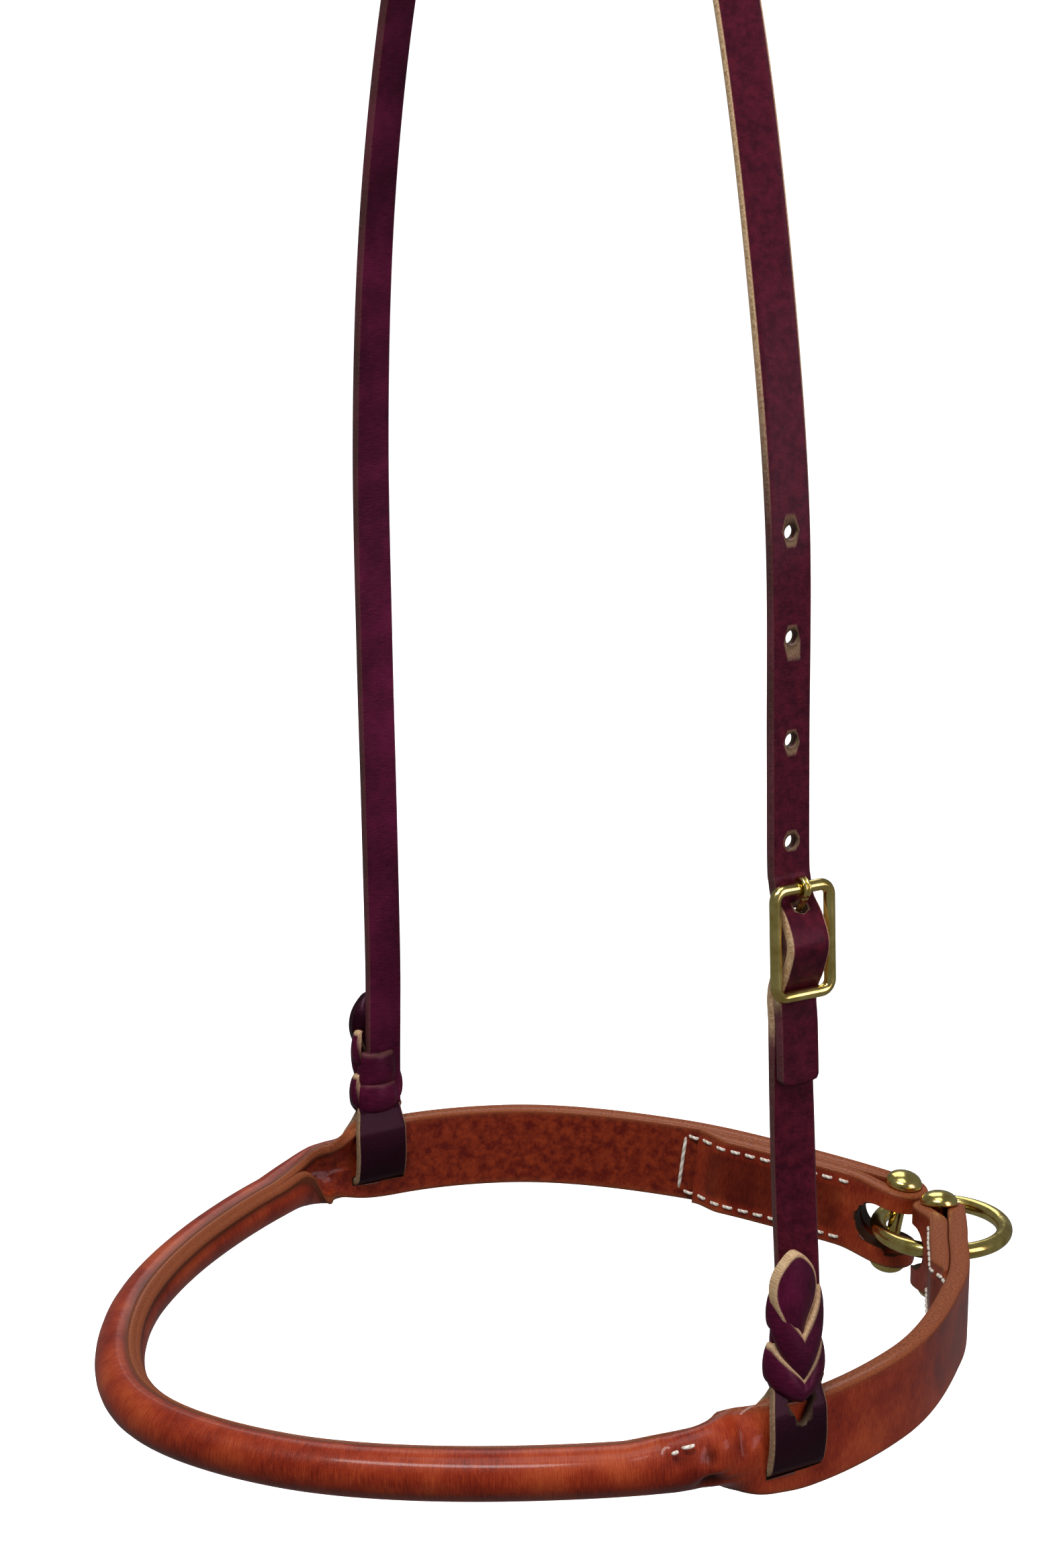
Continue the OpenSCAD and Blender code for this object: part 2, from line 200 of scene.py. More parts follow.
# ---------------------------------------------------------------- meshes
UV_SCALE = 0.01     # texture units to the millimetre


def build(name, body, verts, faces, material, zones=None, uvs=None, smooth=True, sharp=None):
    """A mesh object from millimetre points; each has its zones (edge, inner, shade) and uvs (s, v) in mm."""
    mesh = bpy.data.meshes.new(name)
    mesh.from_pydata([to_frame(v) for v in verts], [], faces)
    if zones is not None:
        attr = mesh.color_attributes.new("zones", "FLOAT_COLOR", "POINT")
        for i, z in enumerate(zones):
            attr.data[i].color = (z[0], z[1], z[2], 1)
    if uvs is not None:
        layer = mesh.uv_layers.new(name="uv")
        for loop in mesh.loops:
            u = uvs[loop.vertex_index]
            layer.data[loop.index].uv = (u[0] * UV_SCALE, u[1] * UV_SCALE)
    mesh.polygons.foreach_set("use_smooth", [smooth] * len(mesh.polygons))
    mesh.update()
    obj = bpy.data.objects.new(name, mesh)
    bpy.context.scene.collection.objects.link(obj)
    obj.data.materials.append(material)
    if sharp:
        mesh.set_sharp_from_angle(angle=radians(sharp))
    if body:
        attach(obj, body)
    bm = bmesh.new()
    bm.from_mesh(mesh)
    bmesh.ops.recalc_face_normals(bm, faces=bm.faces)
    bm.to_mesh(mesh)
    bm.free()
    return obj


def skin(rings, caps=True):
    """Vertices and faces through rings of equal length. Without caps the last ring joins the first."""
    n = len(rings[0])
    verts = [p for r in rings for p in r]
    faces = []
    for i in range(len(rings) - 1):
        for k in range(n):
            a, b = i * n + k, i * n + (k + 1) % n
            faces.append((a, b, b + n, a + n))
    if caps:
        faces.append(tuple(range(n - 1, -1, -1)))
        faces.append(tuple(range((len(rings) - 1) * n, len(rings) * n)))
    else:
        last = (len(rings) - 1) * n
        faces += [(last + k, last + (k + 1) % n, (k + 1) % n, k) for k in range(n)]
    return verts, faces


def merged(many):
    """One list of vertices and faces from several (vertices, faces)."""
    verts, faces = [], []
    for v, f in many:
        base = len(verts)
        verts += v
        faces += [tuple(i + base for i in face) for face in f]
    return verts, faces


def cut(obj, cutters):
    """Takes the cutters away from obj and deletes them."""
    for c in cutters:
        m = obj.modifiers.new("cut", "BOOLEAN")
        m.operation = "DIFFERENCE"
        m.solver = "EXACT"
        m.object = c
    deps = bpy.context.evaluated_depsgraph_get()
    mesh = bpy.data.meshes.new_from_object(obj.evaluated_get(deps))
    obj.modifiers.clear()
    obj.data = mesh
    for c in cutters:
        bpy.data.objects.remove(c)


def tube(points, radius, sides=12, flat=1.0, up=Vector((0, 0, 1))):
    """Rings of a round or flattened tube; radius is a number or a function of 0..1."""
    rings = []
    n = len(points)
    for i, p in enumerate(points):
        t = (points[min(i + 1, n - 1)] - points[max(i - 1, 0)]).normalized()
        a = t.cross(up).normalized()
        b = a.cross(t)
        r = radius(i / (n - 1)) if callable(radius) else radius
        rings.append([p + a * r * cos(tau * k / sides)
                      + b * r * flat * sin(tau * k / sides) for k in range(sides)])
    return rings


# ---------------------------------------------------------------- materials
def shader(name):
    """A new material, its node tree and its shader."""
    m = bpy.data.materials.new(name)
    m.use_nodes = True
    nt = m.node_tree
    return m, nt, nt.nodes["Principled BSDF"]


def preset(n, values):
    """Sets sockets of a node that is there already."""
    for name, value in values.items():
        n.inputs[name].default_value = value


def node(nt, kind, **values):
    """A new node with these inputs and settings."""
    n = nt.nodes.new(kind)
    for k, v in values.items():
        if k in n.inputs:
            n.inputs[k].default_value = v
        else:
            setattr(n, k, v)
    return n


def link(nt, a, b):
    nt.links.new(a, b)


def ramp(nt, source, stops):
    """A colour ramp over source; stops are (position, colour)."""
    r = nt.nodes.new("ShaderNodeValToRGB")
    e = r.color_ramp.elements
    while len(e) < len(stops):
        e.new(0.5)
    for el, (pos, col) in zip(e, stops):
        el.position = pos
        el.color = (*col, 1)
    link(nt, source, r.inputs["Fac"])
    return r.outputs["Color"]


def feed(nt, *pairs):
    """Each value or output goes into its socket."""
    for value, socket in pairs:
        if hasattr(value, "is_output"):
            link(nt, value, socket)
        else:
            socket.default_value = value


def blended(nt, fac, a, b, kind="MIX"):
    """Colour a, changed by colour b as far as fac says."""
    m = nt.nodes.new("ShaderNodeMix")
    m.data_type = "RGBA"
    m.blend_type = kind
    feed(nt, (fac, m.inputs[0]), (a, m.inputs[6]), (b, m.inputs[7]))
    return m.outputs[2]


def maths(nt, op, a, b, clamp_it=False):
    m = nt.nodes.new("ShaderNodeMath")
    m.operation = op
    m.use_clamp = clamp_it
    feed(nt, (a, m.inputs[0]), (b, m.inputs[1]))
    return m.outputs[0]


def times(nt, a, b):
    return maths(nt, "MULTIPLY", a, b)


def plus(nt, a, b, clamp_it=False):
    return maths(nt, "ADD", a, b, clamp_it)


def noise(nt, vector, scale, detail=4, rough=0.55, stretch=(1, 1, 1), distortion=0.0):
    """Noise over a coordinate that is first scaled by stretch."""
    mp = node(nt, "ShaderNodeMapping")
    mp.inputs["Scale"].default_value = stretch
    link(nt, vector, mp.inputs["Vector"])
    n = node(nt, "ShaderNodeTexNoise", Scale=scale, Detail=detail, Roughness=rough, Distortion=distortion)
    link(nt, mp.outputs[0], n.inputs["Vector"])
    return n.outputs["Fac"]


def surface(nt, bsdf, colour, rough, height, strength, distance):
    """Colour, roughness and bump into the shader."""
    link(nt, colour, bsdf.inputs["Base Color"])
    link(nt, rough, bsdf.inputs["Roughness"])
    b = node(nt, "ShaderNodeBump", Strength=strength, Distance=distance)
    link(nt, height, b.inputs["Height"])
    link(nt, b.outputs["Normal"], bsdf.inputs["Normal"])


def leather(name, deep, mid, light, edge_dark, edge_light, inner_dark, inner_light, rough, coat, coat_rough,
            tint, fibre=0.35, grain=0.25):
    """Oiled leather: grain face, raw edge and flesh side chosen by the mesh's zones."""
    m, nt, bsdf = shader(name)
    coord = nt.nodes.new("ShaderNodeTexCoord")
    uv, obj = coord.outputs["UV"], coord.outputs["Object"]
    zones = node(nt, "ShaderNodeVertexColor", layer_name="zones")
    sep = nt.nodes.new("ShaderNodeSeparateColor")
    link(nt, zones.outputs["Color"], sep.inputs[0])
    edge, inner, shade = sep.outputs[0], sep.outputs[1], sep.outputs[2]
    patches = noise(nt, obj, 55, 5, 0.6)
    fibres = noise(nt, uv, 60, 6, 0.6, (7, 0.6, 1), 0.3)
    pores = noise(nt, obj, 1900, 3, 0.6)
    tone = plus(nt, times(nt, patches, 0.62), times(nt, fibres, 0.38))
    face = ramp(nt, tone, ((0.40, deep), (0.5, mid), (0.62, light)))
    fuzz = noise(nt, uv, 95, 6, 0.75, (1.5, 5, 1))
    raw = ramp(nt, fuzz, ((0.34, edge_dark), (0.62, edge_light)))
    clouds = noise(nt, obj, 420, 6, 0.7)
    flesh = ramp(nt, clouds, ((0.38, inner_dark), (0.64, inner_light)))
    colour = blended(nt, inner, face, flesh)
    colour = blended(nt, edge, colour, raw)
    dark = maths(nt, "SUBTRACT", 1.0, times(nt, shade, 0.9))
    dim = nt.nodes.new("ShaderNodeCombineColor")
    for i in range(3):
        link(nt, dark, dim.inputs[i])
    colour = blended(nt, 1.0, colour, dim.outputs[0], "MULTIPLY")
    r = plus(nt, rough - 0.12, times(nt, patches, 0.24))
    r = plus(nt, r, times(nt, edge, 0.28), True)
    r = plus(nt, r, times(nt, inner, 0.10), True)
    h = plus(nt, times(nt, fibres, fibre), times(nt, pores, grain))
    h = plus(nt, h, times(nt, times(nt, fuzz, edge), 1.2))
    h = plus(nt, h, times(nt, times(nt, clouds, inner), 0.5))
    surface(nt, bsdf, colour, r, h, 0.6, 0.0006)
    preset(bsdf, {"Specular IOR Level": 0.26, "Specular Tint": tint + (1.0,),
                  "Coat Weight": coat, "Coat Roughness": coat_rough})
    return m


def brass():
    """Polished brass with clouded colour and fine scratches."""
    m, nt, bsdf = shader("polished_brass")
    coord = nt.nodes.new("ShaderNodeTexCoord").outputs["Object"]
    cloud = noise(nt, coord, 260, 4, 0.6)
    scratch = noise(nt, coord, 900, 4, 0.7, (1, 1, 0.12))
    colour = ramp(nt, cloud, ((0.3, (0.60, 0.44, 0.11)), (0.6, (0.84, 0.70, 0.24))))
    r = plus(nt, 0.10, times(nt, times(nt, cloud, scratch), 0.34))
    surface(nt, bsdf, colour, r, scratch, 0.12, 0.0001)
    preset(bsdf, {"Metallic": 1.0})
    return m


def thread_material():
    """Waxed cream thread whose twist crosses it at an angle."""
    m, nt, bsdf = shader("waxed_thread")
    coord = nt.nodes.new("ShaderNodeTexCoord")
    wave = node(nt, "ShaderNodeTexWave", Scale=28, Distortion=0.6, Detail=1)
    mp = node(nt, "ShaderNodeMapping", Rotation=(0, 0, radians(38)))
    link(nt, coord.outputs["UV"], mp.inputs["Vector"])
    link(nt, mp.outputs[0], wave.inputs["Vector"])
    twist = wave.outputs["Fac"]
    cloud = noise(nt, coord.outputs["Object"], 500, 3)
    tone = plus(nt, times(nt, twist, 0.5), times(nt, cloud, 0.5))
    colour = ramp(nt, tone, ((0.2, (0.50, 0.42, 0.32)), (0.6, (0.90, 0.86, 0.76))))
    surface(nt, bsdf, colour, plus(nt, 0.5, times(nt, cloud, 0.2)), twist, 0.5, 0.0002)
    return m


def rope_material():
    """The core, which nothing but a cut would show."""
    m, nt, bsdf = shader("core_rope")
    wave = node(nt, "ShaderNodeTexWave", Scale=90, Distortion=1.2, Detail=2)
    link(nt, nt.nodes.new("ShaderNodeTexCoord").outputs["Object"], wave.inputs["Vector"])
    lay = wave.outputs["Fac"]
    colour = ramp(nt, lay, ((0.2, (0.33, 0.25, 0.14)), (0.8, (0.66, 0.56, 0.38))))
    surface(nt, bsdf, colour, plus(nt, 0.7, times(nt, lay, 0.2)), lay, 0.6, 0.0008)
    return m


RUSSET = leather("russet_leather",
                 deep=(0.150, 0.010, 0.004), mid=(0.290, 0.030, 0.009), light=(0.440, 0.075, 0.020),
                 edge_dark=(0.110, 0.018, 0.007), edge_light=(0.420, 0.120, 0.040),
                 inner_dark=(0.115, 0.007, 0.004), inner_light=(0.290, 0.036, 0.009),
                 rough=0.34, coat=0.22, coat_rough=0.13, tint=(1.0, 0.55, 0.45))
LATIGO = leather("latigo_leather",
                 deep=(0.030, 0.0020, 0.0100), mid=(0.062, 0.0042, 0.0210), light=(0.115, 0.0085, 0.0400),
                 edge_dark=(0.380, 0.160, 0.048), edge_light=(0.950, 0.720, 0.430),
                 inner_dark=(0.030, 0.0024, 0.0070), inner_light=(0.085, 0.0070, 0.0160),
                 rough=0.40, coat=0.05, coat_rough=0.16, tint=(1.0, 0.30, 0.55), fibre=0.15, grain=0.3)
BRASS = brass()
THREAD = thread_material()
ROPE = rope_material()

# The CAD nodes take the material of their row's slot.
BY_SLOT = {"russet_leather": RUSSET, "latigo_leather": LATIGO, "polished_brass": BRASS,
           "waxed_thread": THREAD, "core_rope": ROPE}
for name, obj in frame["nodes"].items():
    row = next(r for r in frame["record"]["subparts"] if r["node"] == name)
    if obj.material_slots:
        obj.material_slots[0].material = BY_SLOT[row["material_slot"]]
    else:
        obj.data.materials.append(BY_SLOT[row["material_slot"]])


# ---------------------------------------------------------------- noseband
FACE_POINTS = 24
CORNER = 1.1
LOWER_LEAD = 4      # the lower edge leaves the roll this much nearer the nose than the upper edge
# Degrees round the roll at which its two edges meet, and how far their lips turn in from there
SEAM_EDGE = 155
SEAM_SPLAY = 25
OPEN_FROM, OPEN_TO = 124, 172
SHOULDER = 6.2      # how far the top has risen off the roll before the strap is flat
FOLD_ARC = 14       # the leather's length round the pin, in the texture
STEP, FINE_STEP, FOLD_STEPS = 1.5, 0.9, 16


def flat_section():
    """(kind, side, face, part) round the section: side runs over a face, part round a rounded edge."""
    pts = []
    for k in range(FACE_POINTS + 1):
        pts.append(("face", -1 + 2 * k / FACE_POINTS, 1, 0))
    for k in range(1, 10):
        pts.append(("edge", 1, 1, k / 10))
    for k in range(FACE_POINTS + 1):
        pts.append(("face", 1 - 2 * k / FACE_POINTS, -1, 0))
    for k in range(1, 10):
        pts.append(("edge", -1, -1, k / 10))
    return pts


SECTION = flat_section()


def rolled(s):
    """1 where the strap is a closed roll, 0 where it is flat."""
    return 1 - ease(ROLL_REACH, ROLL_REACH + ROLL_FADE, s) ** 1.6


def strap_section(roll, thick, low_roll=None):
    """Points (out, up) of the noseband's section; its lower half may be less rolled than its upper half."""
    if low_roll is not None:
        upper, lower = strap_section(roll, thick), strap_section(low_roll, thick)
        shift = [a - b for a, b in zip(upper[FACE_POINTS // 2], lower[FACE_POINTS // 2])]
        return [u if side >= 0 else (l[0] + shift[0], l[1] + shift[1])
                for u, l, (kind, side, face, k) in zip(upper, lower, SECTION)]
    mid_radius = ROLL_RADIUS - ROLL_SKIN / 2
    t = mix(thick, ROLL_SKIN, roll)
    half = mix(BAND_HEIGHT / 2 - CORNER, radians(SEAM_EDGE) * mid_radius, roll)
    curl = max(roll / mid_radius, 1e-5)
    turn = radians(-SEAM_TURN * ease(0.45, 1, roll))
    w = roll ** 3
    out = []
    for kind, side, face, k in SECTION:
        if kind == "face":
            across, e = side * half, face * t / 2
        else:
            # an edge runs round its corner from one face to the other
            p = k if side > 0 else 1 - k
            a = pi * p
            e = t / 2 * copysign(abs(cos(a)) ** 0.6, cos(a))
            across = side * (half + CORNER * sin(a) ** 0.6)
        theta, rho = across * curl, 1 / curl + e
        if kind == "edge":
            lip = SEAM_EDGE + SEAM_SPLAY * min(1, 0.1 + p)
            theta = mix(theta, side * radians(lip), w)
            rho = mix(rho, 1 / curl + t / 2 + 0.22 * sin(a) - 0.50 * exp(-(p / 0.14) ** 2), w)
        elif face < 0 and abs(side) > 0.9:
            splayed = copysign(radians(SEAM_EDGE + SEAM_SPLAY), side)
            theta = mix(theta, splayed, w * (abs(side) - 0.9) * 10)
        elif face > 0 and abs(side) > 0.95:
            rho -= w * 0.35 * (abs(side) - 0.95) * 20
        n = rho * cos(theta) - 1 / curl + mid_radius * roll
        z = rho * sin(theta)
        out.append((n * cos(turn) - z * sin(turn), n * sin(turn) + z * cos(turn)))
    return out


def opened(points, s):
    """The section stretched so that its top rises evenly from roll to flat, and its bottom late and fast."""
    if s > OPEN_TO:
        return points
    rise = SHOULDER * clamp((s - OPEN_FROM) / 34) ** 1.1
    high = mix(ROLL_RADIUS + rise, BAND_HEIGHT / 2, ease(OPEN_TO - 12, OPEN_TO, s))
    low = mix(ROLL_RADIUS, BAND_HEIGHT / 2, ease(OPEN_FROM + 7, OPEN_TO - 4, s))
    deep = mix(ROLL_RADIUS, BAND_THICK / 2, ease(OPEN_FROM, OPEN_TO - 8, s))
    up = high / max(z for _, z in points)
    down = -low / min(z for _, z in points)
    inward = -deep / min(n for n, _ in points)
    return [(n * (inward if n < 0 else 1), z * (up if z > 0 else down)) for n, z in points]


def section_zones(roll):
    """(edge, inner, shade) for each point of the section."""
    zones = []
    for kind, side, face, k in SECTION:
        if kind == "face":
            rim = clamp((abs(side) - 0.90) * 10)
            # painted shade: the rolled faces darken where they turn into the seam's creases
            crease_shade = clamp((abs(side) - 0.93) * 14) * roll
            outer = face > 0
            zones.append((0.25 * rim if outer else 0.3 * rim, 0.0 if outer else 1.0, 0.55 * crease_shade))
        else:
            p = k if side > 0 else 1 - k
            # painted shade on the edge next to the seam's line, where the strap is rolled
            zones.append((1.0, 0.0, 0.8 * roll * clamp(1.3 - p * 6)))
    return zones


def section_uv(s):
    """(along, across) for each point of the section; the inner face lies beside the outer face."""
    uvs = []
    for kind, side, face, k in SECTION:
        if kind == "face":
            uvs.append((s, side * BAND_HEIGHT / 2 + (0 if face > 0 else 60)))
        else:
            uvs.append((s, side * (BAND_HEIGHT / 2 + 4 * k)))
    return uvs


# Hand-worked marks on the near side: (distance, height, radius along, radius up, push out, shade)
MARKS = [(142.0, -2.6, 2.1, 1.5, -2.2, 1.2), (145.8, -3.2, 3.2, 0.8, -0.5, 0.4),
         (141.8, 3.6, 1.3, 2.4, -1.0, 0.6), (146.2, 6.2, 2.5, 2.6, 0.6, 0.0),
         (149.4, 4.2, 1.0, 3.0, -0.7, 0.45), (138.4, 3.0, 1.8, 1.3, 0.6, 0.0),
         (136.6, 4.2, 3.8, 0.7, -0.6, 0.5), (133.4, 6.4, 1.2, 1.0, 0.45, 0.0),
         (131.0, 6.0, 1.0, 0.9, -0.4, 0.25), (143.6, 0.8, 1.7, 1.2, 0.5, 0.0),
         (152.4, 2.0, 1.2, 3.0, 0.3, 0.0)]
WORKED_TO = 168
GROOVE_UP = -3.3    # height of the creased line along the near roll
AWL_FROM, AWL_TO, AWL_PITCH = 62, 96, 4.2


def worked(ring, zone, s):
    """The near half's puckers, notch and creases where the roll opens out, and its awl marks."""
    if s > WORKED_TO or s < 2:
        return ring, zone
    p, t, o, u = band_axes(s)
    new_ring, new_zone = [], []
    for (kind, side, face, _), v, z in zip(SECTION, ring, zone):
        # dark gathers painted shade laid into the notch, the creases, the groove and the awl dents
        push, dark = 0.0, 0.0
        if kind == "face" and face > 0 and abs(side) < 0.9:
            up = (v - p).dot(u)
            for ms, mz, rs, rz, depth, shade in MARKS:
                g = exp(-((s - ms) / rs) ** 2 - ((up - mz) / rz) ** 2)
                push += depth * g
                dark += shade * g
            groove = exp(-((up - GROOVE_UP) / 0.55) ** 2) * ease(40, 75, s) * (1 - ease(139, 143, s))
            push -= 0.30 * groove
            dark += 0.40 * groove
            if AWL_FROM < s < AWL_TO:
                wave = 0.5 + 0.5 * cos(tau * s / AWL_PITCH)
                ends = ease(AWL_FROM, AWL_FROM + 6, s) * (1 - ease(AWL_TO - 6, AWL_TO, s))
                g = exp(-((up + 1.2 - 0.5 * wave) / 1.1) ** 2) * ends
                push -= 0.30 * g * wave
                dark += 0.10 * g * wave
        normal = v - p
        normal = normal - t * normal.dot(t)
        normal = normal.normalized() if normal.length > 0.01 else o
        normal = (normal + o * mix(0.4, 4, ease(ROLL_REACH - 4, ROLL_REACH + 20, s))).normalized()
        new_ring.append(v + normal * push)
        new_zone.append((z[0], z[1], min(1.0, z[2] + dark)))
    return new_ring, new_zone


def fold_thickness(d):
    """The flap's thickness at distance d from the fold; its end is skived."""
    return mix(1.2, FOLD_THICK, ease(0, SKIVE, FOLD_LENGTH - d))


def noseband():
    """The whole strap: from the near flap's end round the pin to the nose, and the same on the far side."""
    rings, zones, uvs = [], [], []
    rest = BAND_THICK / 2 + PLY_GAP + FOLD_THICK / 2

    def add(s_uv, roll, thick, put, s=None):
        if s is None:
            pts = strap_section(roll, thick)
        else:
            pts = opened(strap_section(roll, thick, rolled(s + LOWER_LEAD)), s)
        rings.append([put(q) for q in pts])
        zones.append(section_zones(roll))
        uvs.append(section_uv(s_uv))

    # the flap: its outer face lies against the main strap, its inner face shows
    d = FOLD_LENGTH
    while d > 0.01:
        s = LENGTH - d
        apart = mix(2 * FOLD_RADIUS, rest, ease(0, FOLD_CLOSE, d))
        thin = fold_thickness(d)
        shift = apart - (FOLD_THICK - thin) / 2
        p, t, o, u = band_axes(s)
        add(LENGTH + FOLD_ARC + d, 0, thin,
            lambda q, p=p, o=o, u=u, shift=shift: p - o * (shift + q[0]) + u * q[1])
        pressed = 0.45 * ease(13, 17, d) * (1 - ease(53, 56, d))
        zones[-1] = [(z[0], z[1], max(z[2], pressed * (1 - ease(0.60, 0.72, abs(side))))
                      if kind == "face" and face > 0 else z[2])
                     for z, (kind, side, face, k) in zip(zones[-1], SECTION)]
        d -= STEP
    # round the pin
    p, t, o, u = band_axes(LENGTH)
    middle = p - o * FOLD_RADIUS
    for k in range(FOLD_STEPS):
        a = pi * (1 - k / FOLD_STEPS)
        away = sin(a) * t + cos(a) * o
        add(LENGTH + FOLD_ARC * (1 - k / FOLD_STEPS), 0, FOLD_THICK,
            lambda q, away=away: middle + away * (FOLD_RADIUS + q[0]) + u * q[1])
    # the main strap, down to the nose
    s = LENGTH
    while s > 0.8:
        roll = rolled(s)
        thick = mix(FOLD_THICK, BAND_THICK, ease(0, FOLD_CLOSE, LENGTH - s))
        p, t, o, u = band_axes(s)
        add(s, roll, thick, lambda q, p=p, o=o, u=u: p + o * q[0] + u * q[1], s)
        s -= STEP if s > ROLL_REACH + ROLL_FADE + 4 else FINE_STEP
    # only the near half is worked, so the far half mirrors it as it was before
    p, t, o, u = band_axes(0)
    half_rings, half_zones, half_uvs = list(rings), list(zones), list(uvs)
    for i, w in enumerate(uvs):
        rings[i], zones[i] = worked(rings[i], zones[i], w[0][0])
    add(0, 1, BAND_THICK, lambda q: p + o * q[0] + u * q[1])
    for r, z, w in zip(reversed(half_rings), reversed(half_zones), reversed(half_uvs)):
        rings.append([mirrored(v, -1) for v in r])
        zones.append(z)
        uvs.append([(-a, b) for a, b in w])
    return build("noseband_leather", "noseband", *skin(rings), RUSSET,
                 [z for r in zones for z in r], [w for r in uvs for w in r])


def fold_frame(side):
    """The pin's middle, and the strap's directions there."""
    p, t, o, u = band_axes(LENGTH)
    c = p - o * FOLD_RADIUS
    return [mirrored(v, side) for v in (c, t, o, u)]


SLOT_HEIGHT = 11.5
SLOT_DEPTH = {NEAR: 9.6, FAR: 10.4}


def ring_slot_cutter(side):
    """A slot through both plies round the pin, with a round inner end."""
    c, t, o, u = fold_frame(side)
    r = SLOT_HEIGHT / 2
    straight = -(SLOT_DEPTH[side] - r)
    outline = [(12, -r), (straight, -r)]
    outline += [(straight - r * sin(pi * k / 24), -r * cos(pi * k / 24)) for k in range(1, 24)]
    outline += [(straight, r), (12, r)]
    rings = [[c + t * x + u * z + o * y for x, z in outline] for y in (-14, 14)]
    return build("slot", None, *skin(rings), RUSSET, smooth=False)


def slit_cutter(side):
    """The level slit that the hanger's loop passes through."""
    x, middle, half = 7.5, -4.45, 1.25
    low, high = middle - half, middle + half
    corners = ((-x, low), (x, low), (x, high), (-x, high))
    rings = [[Vector((sx + LOOP_SHIFT, side * y, z)) for sx, z in corners] for y in (92, 105)]
    return build("slit", None, *skin(rings), RUSSET, smooth=False)


band = noseband()
cut(band, [ring_slot_cutter(NEAR), ring_slot_cutter(FAR), slit_cutter(NEAR), slit_cutter(FAR)])
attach(band, "noseband")
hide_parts("noseband_strap")


# ---------------------------------------------------------------- stitching
def stitch_rings(a, b, lift, thick, steps=9):
    """A thread that rises out of the leather at a, lies along it and dips back in at b."""
    d = b - a
    pts = []
    for i in range(steps + 1):
        t = i / steps
        sink = (abs(2 * t - 1)) ** 4
        pts.append(a + d * t + lift * (0.22 - 0.75 * sink) * thick)
    return tube(pts, lambda u: thick / 2 * (1 - 0.35 * abs(2 * u - 1) ** 6), 10, 0.85, lift.normalized())


def thread_object(name, body, many, node_name):
    """One piece from the rings of many stitches."""
    uvs = [(i * 0.35, k * 0.25) for rings in many for i, ring in enumerate(rings) for k in range(len(ring))]
    obj = build(name, body, *merged(skin(rings) for rings in many), THREAD, None, uvs)
    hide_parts(node_name)


def fold_stitches(side):
    """Two rows along a flap, which run on a little past it, and the thread across its end."""
    rng = random.Random(11 if side > 0 else 12)
    pitch, length, thick = 4.4, 2.9, 0.95
    first = FOLD_CLOSE - 1
    row = BAND_HEIGHT / 2 - 2.8
    many = []
    count = int((FOLD_LENGTH - SKIVE - first) / pitch) + 4
    for v in (-row, row):
        for k in range(count):
            d0 = first + k * pitch + rng.uniform(-0.15, 0.15)
            d1 = d0 + length + rng.uniform(-0.2, 0.2)
            ends = []
            for d in (d0, d1):
                thin = fold_thickness(d) if d < FOLD_LENGTH else 0
                inward = -(BAND_THICK / 2 + PLY_GAP + thin)
                ends.append(place(LENGTH - d, inward, v + rng.uniform(-0.12, 0.12)))
            many.append(stitch_rings(*ends, -band_out(LENGTH - d0), thick))
    last = LENGTH - FOLD_LENGTH - pitch
    a = place(last, -BAND_THICK / 2, -row)
    b = place(last + 0.6, -BAND_THICK / 2, row)
    many.append(stitch_rings(a, b, -band_out(last), 1.0, steps=24))
    return [[[mirrored(p, side) for p in r] for r in rings] for rings in many]


thread_object("near_fold_thread", "noseband", fold_stitches(NEAR), "near_fold_stitching")
thread_object("far_fold_thread", "noseband", fold_stitches(FAR), "far_fold_stitching")


SEWN_OUT = 7.4


def roll_stitches():
    """The thread across the roll's seam, and the two stitches that show at its near end."""
    many = []
    pitch = 9
    count = int((ROLL_REACH - 6) / pitch)
    for k in range(-count, count + 1):
        s = abs(k) * pitch + 2
        side = -1 if k < 0 else 1
        mid = radians(180 - SEAM_TURN)
        pts = []
        for i in range(11):
            t = i / 10
            a = mid + radians(mix(-17, 17, t))
            r = ROLL_RADIUS - 0.75 + 0.25 * sin(pi * t)
            pts.append(mirrored(place(s + mix(0, 1.2, t), r * cos(a), r * sin(a)), side))
        many.append(tube(pts, lambda u: 0.34, 8, 1.0, Vector((0.3, 0.2, 1))))
    for s, up, long in ((136.9, 6.7, 2.8), (133.9, 5.8, 1.3)):
        pts = []
        for i in range(9):
            t = i / 8
            bow = sin(pi * (0.15 + 0.7 * t))
            pts.append(place(s - long * (0.5 - t), SEWN_OUT - up * 0.42 + 0.8 * bow, up + 0.4 * t))
        many.append(tube(pts, lambda u: 0.55 * (1 - abs(2 * u - 1) ** 5 * 0.6), 10, 0.8))
    return many


thread_object("roll_seam_thread", "noseband", roll_stitches(), "roll_stitching")


# ---------------------------------------------------------------- hanger straps
def rounded_section(width, thick):
    """Points (across, out) and zones (edge, flesh side) of a flat strap with rounded raw edges."""
    w, h = width / 2, thick / 2
    corner = min(0.55, h * 0.98)
    pts, zones = [], []
    for side in (1, -1):
        for k in range(9):
            pts.append((side * (-1 + 2 * k / 8) * (w - corner), side * h))
            zones.append((0.0, 0.0 if side > 0 else 1.0))
        for k in range(1, 8):
            a = pi * k / 8
            c, s = cos(a), sin(a)
            pts.append((side * (w - corner + corner * abs(s) ** 0.7),
                        side * copysign(h * abs(c) ** 0.5, c)))
            zones.append((1.0, 0.0))
    return pts, zones


